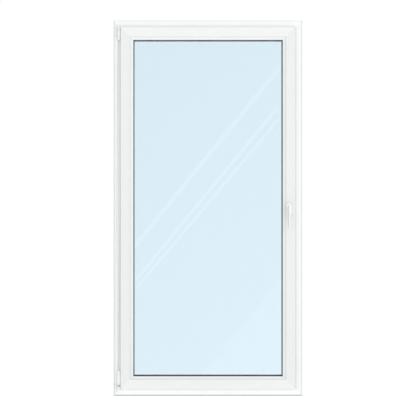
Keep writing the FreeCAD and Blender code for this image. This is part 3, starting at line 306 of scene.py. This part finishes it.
handle_paint = white_coat("white_lacquered_casting", "F1F2F2", 0.24, 2.0 * MM, 0.4)
hinge_paint = white_coat("white_powder_coat", "ECEDED", 0.32, 2.0 * MM, 0.15)
cover_plastic = white_coat("moulded_white_plastic", "ECEDED", 0.36, 1.2 * MM, 0.0)
print("white coats:", handle_paint.name, hinge_paint.name, cover_plastic.name)

# %% [markdown]
# ## Glass and what shuts it in
#
# Float glass is clear with a cool cast, and reflects a little at each face.  The shader
# bends and reflects light by itself, so the glass needs only its tint and its index of
# 1.52.  A very faint wave, a third of a metre long, keeps the reflections from being
# ruler straight.  The steel spacer between the panes is pale and has a row of breathing
# holes, and the packers under the glass are blue plastic.

# %% Glass, spacer and packers
GLASS_WAVE = 1 / 3.0


def float_glass(name, shade):
    made, tree = new_finish(name)
    place = add(tree, "ShaderNodeTexCoord")
    wave = add(tree, "ShaderNodeTexNoise", {"Vector": (place, "Object"),
                                            "Scale": 1 / GLASS_WAVE, "Detail": 0.0})
    bump = add(tree, "ShaderNodeBump", {"Height": (wave, "Fac"), "Strength": 0.008,
                                        "Distance": 0.2 * MM})
    close_finish(tree, {"Base Color": colour(shade), "Roughness": 0.0, "IOR": 1.52,
                        "Transmission Weight": 1.0, "Normal": (bump, "Normal")})
    return made


glass = float_glass("float_glass", "E8F2F7")


def dotted(name, shade, dot_shade, pitch):
    """A plain profile with a row of small holes every pitch metres, painted as darker dots
    whose dark is painted shade.
    """
    made, tree = new_finish(name)
    place = add(tree, "ShaderNodeTexCoord")
    dots = add(tree, "ShaderNodeTexVoronoi", {"Vector": (place, "Object"),
                                              "Scale": 1 / pitch, "Randomness": 0.0})
    mask = add(tree, "ShaderNodeMapRange", {"Value": (dots, "Distance"),
                                            "From Min": 0.18, "From Max": 0.22})
    # The darker dots are painted shade standing for the inside of each hole.
    base = add(tree, "ShaderNodeMix", {"Factor": (mask, "Result"), 6: colour(dot_shade),
                                       7: colour(shade)}, data_type="RGBA")
    close_finish(tree, {"Base Color": (base, 2), "Roughness": 0.45, "IOR": 1.5})
    return made


spacer_finish = dotted("steel_spacer_bar", "B4B8BA", "55585A", 4.0 * MM)
packer_finish = dotted("blue_packer_plastic", "2E5C9E", "244B85", 8.0 * MM)
print("glazing finishes:", glass.name, spacer_finish.name, packer_finish.name)

# %% [markdown]
# ## Finishes on the CAD pieces
#
# Each CAD piece gets its finish by name.  Screws share one finish, and any fitting that
# isn't listed is zinc plated strip.

# %% Give every CAD piece its finish
finish_rows = (
    (frame_upright, ("frame_jamb_hinge_side", "frame_jamb_lock_side")),
    (frame_head, ("frame_head",)),
    (frame_sill, ("frame_sill",)),
    (sash_upright, ("sash_stile_hinge_side", "sash_stile_lock_side")),
    (sash_rail, ("sash_top_rail", "sash_bottom_rail")),
    (bead_upright, ("bead_hinge_side", "bead_lock_side")),
    (bead_rail, ("bead_top", "bead_bottom")),
    (epdm, ("frame_gasket", "bead_gasket", "leg_gasket")),
    (grey_seal, ("sash_gasket",)),
    (galvanised, ("frame_steel", "sash_steel", "handle_spindle", "drive_pinion")),
    (die_cast, ("keeps_lock_side", "keeps_hinge_side", "keeps_head_and_sill",
                "gearbox_case", "handle_base")),
    (screw_metal, tuple(name for name in nodes if name.endswith("_screws"))),
    (hinge_paint, ("corner_bearing", "stay_bearing", "corner_band")),
    (cover_plastic, ("corner_band_cover", "drain_caps")),
    (handle_paint, ("handle_lever", "handle_cover")),
    (glass, ("glass_pane_room", "glass_pane_outdoor")),
    (spacer_finish, ("glass_spacer",)),
    (sealant, ("glass_edge_seal",)),
    (packer_finish, ("glazing_packers",)),
)
finish_of = {name: finish for finish, names in finish_rows for name in names}
for name, node in nodes.items():
    node.data.materials.clear()
    node.data.materials.append(finish_of.get(name, zinc_plate))
print("listed finishes:", len(finish_of), "of", len(nodes), "CAD pieces")

# %% [markdown]
# Square CAD edges look false because real edges are always broken, so a weld joins the
# mesh where the CAD export split it and a small bevel rounds what is left.  At the
# corners this also leaves the fine groove that the trimmed weld has on a real window.

# %% Break the sharp edges
EDGE_BREAK = {"frame_": 0.5 * MM, "sash_": 0.5 * MM, "bead_": 0.5 * MM,
              "corner_bearing": 0.8 * MM, "stay_bearing": 0.8 * MM,
              "corner_band": 0.6 * MM}
SHARP = math.radians(28)


def soften(node, width):
    """Join the mesh where the export split it, then round its sharp edges."""
    weld = node.modifiers.new("weld", "WELD")
    weld.merge_threshold = 0.01 * MM
    bevel = node.modifiers.new("edge", "BEVEL")
    bevel.width = width
    bevel.segments = 2
    bevel.limit_method = "ANGLE"
    bevel.angle_limit = SHARP


softened = []
for name, node in nodes.items():
    if "gasket" in name or "steel" in name:
        continue
    for start, width in EDGE_BREAK.items():
        if name.startswith(start):
            soften(node, width)
            softened.append(name)
            break
print("edges broken on:", len(softened), "CAD pieces")

# %% [markdown]
# ## Mesh helpers
#
# Three kinds of shape cover the new pieces: a ring of seal that runs round a rectangle
# with mitred corners, a turned shape made by spinning an outline, and a skin stretched
# over a row of rounded cross sections.

# %% Mesh helpers


def finish_mesh(name, verts, faces, finish, body, smooth=True, levels=0):
    mesh = bpy.data.meshes.new(name)
    mesh.from_pydata(verts, [], faces)
    mesh.update()
    tidy = bmesh.new()
    tidy.from_mesh(mesh)
    bmesh.ops.recalc_face_normals(tidy, faces=tidy.faces)
    tidy.to_mesh(mesh)
    tidy.free()
    made = bpy.data.objects.new(name, mesh)
    bpy.context.scene.collection.objects.link(made)
    mesh.materials.append(finish)
    if smooth:
        mesh.polygons.foreach_set("use_smooth", [True] * len(mesh.polygons))
    if levels:
        rounding = made.modifiers.new("round", "SUBSURF")
        rounding.levels = rounding.render_levels = levels
    if body:
        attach(made, body)
    return made


def seal_loop(name, section, inset, finish, body, lip=(0, 1, 1, 1, 1)):
    """section is a closed outline of (distance in from the edge, depth) in millimetres.

    lip is (where the showing part starts, then how far that part reaches at the left,
    right, bottom and top, each as a share of the section's own)."""
    low, high = inset, FRAME_TALL - inset
    half = FRAME_WIDE / 2 - inset
    start, left, right, bottom, top = lip
    verts, faces = [], []
    for sx, sz in ((-1, -1), (1, -1), (1, 1), (-1, 1)):
        for across, depth in section:
            beyond = max(across - start, 0)
            step_x = (across - beyond + beyond * (left if sx < 0 else right)) * MM
            step_z = (across - beyond + beyond * (bottom if sz < 0 else top)) * MM
            z = low + step_z if sz < 0 else high - step_z
            verts.append((sx * (half - step_x), depth * MM, z))
    count = len(section)
    for corner in range(4):
        following = (corner + 1) % 4
        for i in range(count):
            j = (i + 1) % count
            faces.append((corner * count + i, corner * count + j,
                          following * count + j, following * count + i))
    return finish_mesh(name, verts, faces, finish, body, smooth=False)


def turned(name, outline, centre, axis, finish, body, sides=40):
    """Spin an outline of (radius, distance along the axis) round a line.  Ends close."""
    verts, faces = [], []
    for radius, along in outline:
        for i in range(sides):
            angle = 2 * math.pi * i / sides
            a, b = radius * math.cos(angle), radius * math.sin(angle)
            spot = {"y": (a, along, b), "z": (a, b, along)}[axis]
            verts.append(tuple(MM * p + c for p, c in zip(spot, centre)))
    for ring in range(len(outline) - 1):
        for i in range(sides):
            j = (i + 1) % sides
            faces.append((ring * sides + i, ring * sides + j,
                          (ring + 1) * sides + j, (ring + 1) * sides + i))
    faces.append(tuple(range(sides)))
    faces.append(tuple(range((len(outline) - 1) * sides, len(outline) * sides)))
    return finish_mesh(name, verts, faces, finish, body)


def skinned(name, rings, finish, body, levels=2):
    """Stretch a skin over rings of points and close both ends."""
    verts = [p for ring in rings for p in ring]
    count = len(rings[0])
    faces = []
    for r in range(len(rings) - 1):
        for i in range(count):
            j = (i + 1) % count
            faces.append((r * count + i, r * count + j, (r + 1) * count + j,
                          (r + 1) * count + i))
    faces.append(tuple(range(count)))
    faces.append(tuple(range((len(rings) - 1) * count, len(rings) * count)))
    return finish_mesh(name, verts, faces, finish, body, levels=levels)


def rounded_section(half_a, half_b, squareness=0.5, count=16):
    """A superellipse: 1 is round, smaller is squarer."""
    points = []
    for i in range(count):
        angle = 2 * math.pi * (i + 0.5) / count
        c, s = math.cos(angle), math.sin(angle)
        points.append((half_a * math.copysign(abs(c) ** squareness, c),
                       half_b * math.copysign(abs(s) ** squareness, s)))
    return points


# %% [markdown]
# ## The seals that show
#
# The room-side glazing seal is the dark line between the bead and the glass.  Its lip leans
# on the pane and is rounded towards the room.  Its showing part is made narrower or wider
# on each side, so that it hardly shows at the hinge side and shows most along the sill.
# The real seal is the same all round: the difference is painted light at the hinge side and
# painted shade at the lock side and the sill.  The outdoor one is the same the other way
# round.  The CAD seals are square strips, so shaped ones take their place.

# %% Glazing seals
room_lip = [(61.2, -28.0), (73.0, -28.0), (73.0, -28.6), (72.4, -29.4), (71.2, -30.3),
            (69.6, -31.0), (68.2, -31.4), (61.2, -31.5)]
# The lip shares per side put painted light at the hinge side and painted shade at the lock
# side and sill into the seal's dark line.
room_seal = seal_loop("room_glazing_seal", room_lip, SASH_INSET, epdm, "sash",
                      lip=(68.0, 0.05, 0.70, 1.20, 0.84))
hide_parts("bead_gasket")
outdoor_lip = [(65.2, -4.0), (70.0, -4.0), (70.0, -3.2), (69.8, -1.9), (69.2, -0.7),
               (68.6, 0.0), (65.2, 0.0)]
outdoor_seal = seal_loop("outdoor_glazing_seal", outdoor_lip, SASH_INSET, epdm, "sash")
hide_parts("leg_gasket")
print("glazing seals:", room_seal.name, outdoor_seal.name)

# %% [markdown]
# The frame's own seal sits in a groove of the outdoor flange and has a hollow bulb that
# the sash presses on.

# %% Frame seal
bulb = [(61.2, 17.8), (61.2, 15.0), (60.2, 14.8), (59.9, 13.9), (60.6, 12.9),
        (62.4, 12.4), (64.4, 12.5), (65.6, 13.2), (66.0, 14.3), (65.2, 15.0),
        (64.8, 15.0), (64.8, 17.8)]
frame_seal = seal_loop("frame_seal", bulb, 0, epdm, "frame")
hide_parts("frame_gasket")
print("frame seal corners:", len(frame_seal.data.vertices) // len(bulb))

# %% [markdown]
# ## The handle
#
# A cast lever on a square spindle.  It starts as a round neck on the rose, turns down,
# and runs to a slim tip with a soft, slightly triangular section.  A skin over rounded
# sections with a subdivision surface gives that flowing shape.  A soft ridge runs down
# the front, a little to one side, so the two flanks catch the light differently.
#
# Each level of the grip is four millimetre sizes: its height above the spindle, half its
# width, and how far its front and its back lie behind the lever's foremost point.  The
# ridge narrows the front to a share of the width, and the back is deepened in step with
# the width.

# %% Handle lever
SPINDLE_X, SPINDLE_Z = 0.426, 0.986
SASH_ROOM = -58 * MM            # the sash's room face
LEVER_FRONT = SASH_ROOM - 50 * MM
LEVER_HALF_WIDE = 10.8
RIDGE_TAPER = 0.78
RIDGE_SHIFT = 0.06              # share of the half width
BACK_DEEPER = 5.0


def lever_ring(height, half_wide, near, far):
    """One level section of the lever: a rounded triangle with its ridge to the front."""
    far += BACK_DEEPER * half_wide / LEVER_HALF_WIDE
    middle, deep = (near + far) / 2, (far - near) / 2
    ring = []
    for a, b in rounded_section(half_wide, deep, 0.80):
        forward = (1 - b / deep) / 2
        a = a * (1 - RIDGE_TAPER * forward) + RIDGE_SHIFT * forward * half_wide
        ring.append((SPINDLE_X + a * MM, LEVER_FRONT + (middle + b) * MM,
                     SPINDLE_Z + height * MM))
    return ring


grip_levels = [
    (21.8, 2.5, 4.5, 10.0), (21.0, 6.0, 2.2, 12.0), (18.0, 8.6, 0.8, 12.8),
    (12.0, 10.4, 0.2, 13.0), (4.0, 10.8, 0.0, 13.0), (-6.0, 10.8, 0.0, 13.0),
    (-20.0, 10.4, 0.2, 12.6), (-38.0, 9.9, 0.5, 12.2), (-58.0, 9.3, 0.9, 11.8),
    (-78.0, 8.7, 1.4, 11.4), (-92.0, 7.7, 1.8, 11.0), (-99.0, 5.6, 2.8, 10.0),
    (-101.8, 2.6, 4.2, 8.6),
]
lever = skinned("lever_grip", [lever_ring(*level) for level in grip_levels],
                handle_paint, "handle")
neck_outline = [(8.8, 10.5), (8.6, 18.0), (8.2, 24.0), (8.4, 32.0), (8.9, 37.0),
                (8.9, 45.5)]
lever_neck = turned("lever_neck", neck_outline, (SPINDLE_X, LEVER_FRONT, SPINDLE_Z), "y",
                    handle_paint, "handle")
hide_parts("handle_lever")
print("lever:", grip_levels[0][0] - grip_levels[-1][0], "mm tall")

# %% [markdown]
# ## The rose
#
# The rose is an upright plate with a cover that clips over it and hides two screws.  Its
# edges are rounded and its face is slightly domed.  Each level is how far it stands out
# of the sash, half its width and half its height, in millimetres.

# %% Rose cover
rose_levels = [(0.2, 15.8, 32.8), (4.0, 15.7, 32.7), (7.5, 15.2, 32.2),
               (9.6, 14.2, 31.2), (10.6, 12.4, 29.4), (10.9, 9.8, 20.0)]


def rose_ring(out, half_wide, half_tall):
    return [(SPINDLE_X + a * MM, SASH_ROOM - out * MM, SPINDLE_Z + b * MM)
            for a, b in rounded_section(half_wide, half_tall, 0.38, 24)]


rose = skinned("rose_cover", [rose_ring(*level) for level in rose_levels], handle_paint,
               "sash")
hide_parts("handle_cover")
print("rose stands out", rose_levels[-1][0], "mm")

# %% [markdown]
# ## Hinge covers
#
# All of these are round pieces on the sash's turning line, so each is an outline of
# (radius, height) in millimetres, spun round it.  The lower hinge wears a tall clip-on
# cover that is domed at its top.  It goes with the sash.

# %% Lower hinge cover


def hinge_cover(name, outline, body):
    made = turned(name, outline, (AXIS_X, AXIS_Y, 0), "z", cover_plastic, body)
    print(name, "rides", body, "from", outline[0][1], "to", outline[-1][1], "mm")
    return made


lower_cover = hinge_cover(
    "lower_hinge_cover",
    [(8.2, 66.2), (8.6, 67.0), (8.6, 96.0), (8.5, 112.0), (8.2, 122.0), (7.5, 130.0),
     (6.2, 135.5), (4.0, 138.3), (1.6, 139.0)], "sash")
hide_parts("corner_band_cover")

# %% [markdown]
# The corner bearing's pivot stands in a short round cup, and the upper hinge has a small
# cap at each end of its barrel.  They stay on the frame.

# %% Bearing cup and caps
hinge_cover("corner_bearing_cup",
            [(1.5, 33.4), (4.6, 33.6), (6.4, 34.4), (7.4, 36.2), (7.7, 39.0),
             (7.7, 50.2), (7.3, 51.4), (6.0, 51.9)], "frame")
hinge_cover("stay_cap_top",
            [(7.5, 1946.5), (7.6, 1948.5), (7.0, 1950.2), (5.2, 1951.4), (2.4, 1951.9)],
            "frame")
hinge_cover("stay_cap_foot",
            [(2.4, 1876.4), (5.2, 1876.8), (7.0, 1877.9), (7.6, 1879.4), (7.5, 1881.5)],
            "frame")

# %% [markdown]
# The steel eye of the stay arm turns between the two ends of the upper hinge.  A white
# sleeve hides it, so the hinge looks like one slim white barrel.

# %% Stay sleeve
hinge_cover("stay_sleeve",
            [(7.3, 1898.4), (7.9, 1899.0), (8.0, 1900.0), (8.0, 1927.0), (7.9, 1928.0),
             (7.3, 1928.6)], "stay")

# %% [markdown]
# ## Studio
#
# The window stands on a pale round floor in a white room, so its white bars differ from
# the background only by their own shading.  The floor glows a little, as a floor in such
# a room looks when light reaches it from all round.

# %% Floor
FLOOR_RADIUS = 1.42
FLOOR_SIDES = 96
FLOOR_DROP = 0.2 * MM           # just under the window's foot
floor_verts = []
for i in range(FLOOR_SIDES):
    angle = 2 * math.pi * i / FLOOR_SIDES
    floor_verts.append((FLOOR_RADIUS * math.cos(angle), FLOOR_RADIUS * math.sin(angle),
                        -FLOOR_DROP))
floor_finish, floor_tree = new_finish("matt_white_floor")
close_finish(floor_tree, {"Base Color": colour("F0F0F0"), "Roughness": 0.9,
                          "Emission Color": colour("FFFFFF"), "Emission Strength": 0.42})
floor = finish_mesh("floor", floor_verts, [tuple(range(FLOOR_SIDES))], floor_finish, None,
                    False)
print("floor:", 2 * FLOOR_RADIUS, "m across")

# %% [markdown]
# The room's light is a sky of soft white whose strength depends on the direction.  In
# front of the window it is strongest and grows towards the right.  Behind the window it
# is just bright enough to look white, and a shade dimmer on one side of a leaning line,
# which gives the glass its faint change of tone.  The walls at the far left and right
# and the ceiling are dimmer, so that the sides and the top of the frame keep their form.

# %% White room
BEHIND_LIGHT = 1.078
BEHIND_DIM = 0.937              # share of it on the dim side of the leaning line
LEANING_LINE = (0.42, 0.0, -0.60)
FRONT_LIGHT = 1.22
SIDE_LIGHT = 0.26               # added at the far right, taken away at the far left
OVERHEAD_LIGHT = 0.70           # share kept by the ceiling
BESIDE_LIGHT = 0.72             # share kept by the walls at the left and right
room = bpy.data.worlds.new("white_room")
room.use_nodes = True
tree = room.node_tree
tree.nodes.clear()
facing = add(tree, "ShaderNodeTexCoord")
parts = add(tree, "ShaderNodeSeparateXYZ", {"Vector": (facing, "Generated")})
in_front = add(tree, "ShaderNodeMath", {0: (parts, "X"), 1: SIDE_LIGHT, 2: FRONT_LIGHT},
               operation="MULTIPLY_ADD")
lean = add(tree, "ShaderNodeVectorMath", {0: (facing, "Generated"), 1: LEANING_LINE},
           operation="DOT_PRODUCT")
behind = add(tree, "ShaderNodeMapRange",
             {"Value": (lean, "Value"), "From Min": -0.05, "From Max": 0.05,
              "To Min": BEHIND_LIGHT * BEHIND_DIM, "To Max": BEHIND_LIGHT})
round_to_back = add(tree, "ShaderNodeMapRange",
                    {"Value": (parts, "Y"), "From Min": -0.3, "From Max": 0.3},
                    interpolation_type="SMOOTHSTEP")
level = add(tree, "ShaderNodeMix", {0: (round_to_back, "Result"),
                                    2: (in_front, "Value"), 3: (behind, "Result")},
            data_type="FLOAT")
aside = add(tree, "ShaderNodeMath", {0: (parts, "X")}, operation="ABSOLUTE")
for source, output, near, far, kept in (
        (aside, "Value", 0.35, 0.95, BESIDE_LIGHT),
        (parts, "Z", 0.15, 0.85, OVERHEAD_LIGHT)):
    share = add(tree, "ShaderNodeMapRange",
                {"Value": (source, output), "From Min": near, "From Max": far,
                 "To Min": 1.0, "To Max": kept}, interpolation_type="SMOOTHSTEP")
    level = add(tree, "ShaderNodeMath", {0: (level, 0), 1: (share, "Result")},
                operation="MULTIPLY")
glow = add(tree, "ShaderNodeBackground",
           {"Color": (1, 1, 1, 1), "Strength": (level, 0)})
add(tree, "ShaderNodeOutputWorld", {"Surface": (glow, "Background")})
bpy.context.scene.world = room
print("room:", len(tree.nodes), "nodes")

# %% [markdown]
# One large soft lamp to the right of the viewer gives the bars and the lever a direction.

# %% Lamp
KEY_SPOT, KEY_TARGET = (4.0, -6.0, 2.2), (0, 0, 1.0)
KEY_WATTS, KEY_SIZE = 20, 2.4


def lamp(name, spot, target, power, size, size_y=None):
    data = bpy.data.lights.new(name, "AREA")
    data.energy = power
    data.shape = "RECTANGLE" if size_y else "SQUARE"
    data.size = size
    if size_y:
        data.size_y = size_y
    made = bpy.data.objects.new(name, data)
    bpy.context.scene.collection.objects.link(made)
    made.location = spot
    aim = Vector(target) - Vector(spot)
    made.rotation_euler = aim.to_track_quat("-Z", "Y").to_euler()
    return made


key = lamp("key_right", KEY_SPOT, KEY_TARGET, KEY_WATTS, KEY_SIZE)
print("key lamp:", round((Vector(KEY_SPOT) - Vector(KEY_TARGET)).length, 1), "m away")

# %% [markdown]
# Thin strips of light behind the viewer are seen only as faint diagonal streaks in the
# glass.  Glass mirrors a strip as far behind it as the strip stands in front, so a streak
# drawn on the glass is stretched from the viewer's eye line to find the strip.  Each
# strip is given by the two points on the glass, (x, z) in metres, that its streak joins.

# %% Strips that the glass mirrors
STRIP_BACK = 12.4               # strips to the glass
VIEW_BACK, VIEW_HEIGHT = 12.2, 0.993
STREAKS = (
    # name, from, to, brightness, width
    ("streak_upper", (-0.385, 0.793), (0.380, 1.737), 0.75, 50 * MM),
    ("streak_lower", (-0.385, 0.608), (0.364, 1.520), 0.90, 30 * MM),
    ("streak_lower_twin", (-0.385, 0.561), (0.374, 1.462), 0.80, 30 * MM),
    ("pale_corner", (0.074, -0.108), (0.720, 0.683), 0.40, 900 * MM),
)


def strip(name, start, end, glow, wide):
    """A light whose mirror image crosses the glass between two (x, z) points."""
    stretch = 1 + STRIP_BACK / VIEW_BACK
    (ax, az), (bx, bz) = ((x * stretch, VIEW_HEIGHT + (z - VIEW_HEIGHT) * stretch)
                          for x, z in (start, end))
    length = math.hypot(bx - ax, bz - az)
    middle = ((ax + bx) / 2, -STRIP_BACK, (az + bz) / 2)
    made = lamp(name, middle, (0, 0, 0), glow * math.pi * length * wide, length, wide)
    made.rotation_euler = (math.radians(90), math.atan2(az - bz, bx - ax), 0)
    made.visible_camera = False
    made.visible_diffuse = False
    made.visible_transmission = False
    return length


for streak in STREAKS:
    print(streak[0], "light:", round(strip(*streak), 2), "m long")

# %% [markdown]
# A long lens looks at the window straight on.  The window fills nine tenths of the
# picture's height, which gives the distance.

# %% Camera
WINDOW_SHARE = 0.9048
LENS, SENSOR = 200, 36
WINDOW_MIDDLE = -35 * MM        # front to back
half_view = FRAME_TALL / WINDOW_SHARE / 2
distance = half_view / (SENSOR / 2 / LENS)
camera_data = bpy.data.cameras.new("camera")
camera_data.lens = LENS
camera_data.sensor_width = SENSOR
camera_data.clip_end = 100
camera = bpy.data.objects.new("camera", camera_data)
bpy.context.scene.collection.objects.link(camera)
camera.location = (0, WINDOW_MIDDLE - distance, VIEW_HEIGHT)
camera.rotation_euler = (math.radians(90), 0, 0)
bpy.context.scene.camera = camera
bpy.context.scene.view_settings.view_transform = "Standard"
print("camera distance:", round(distance, 2), "m")
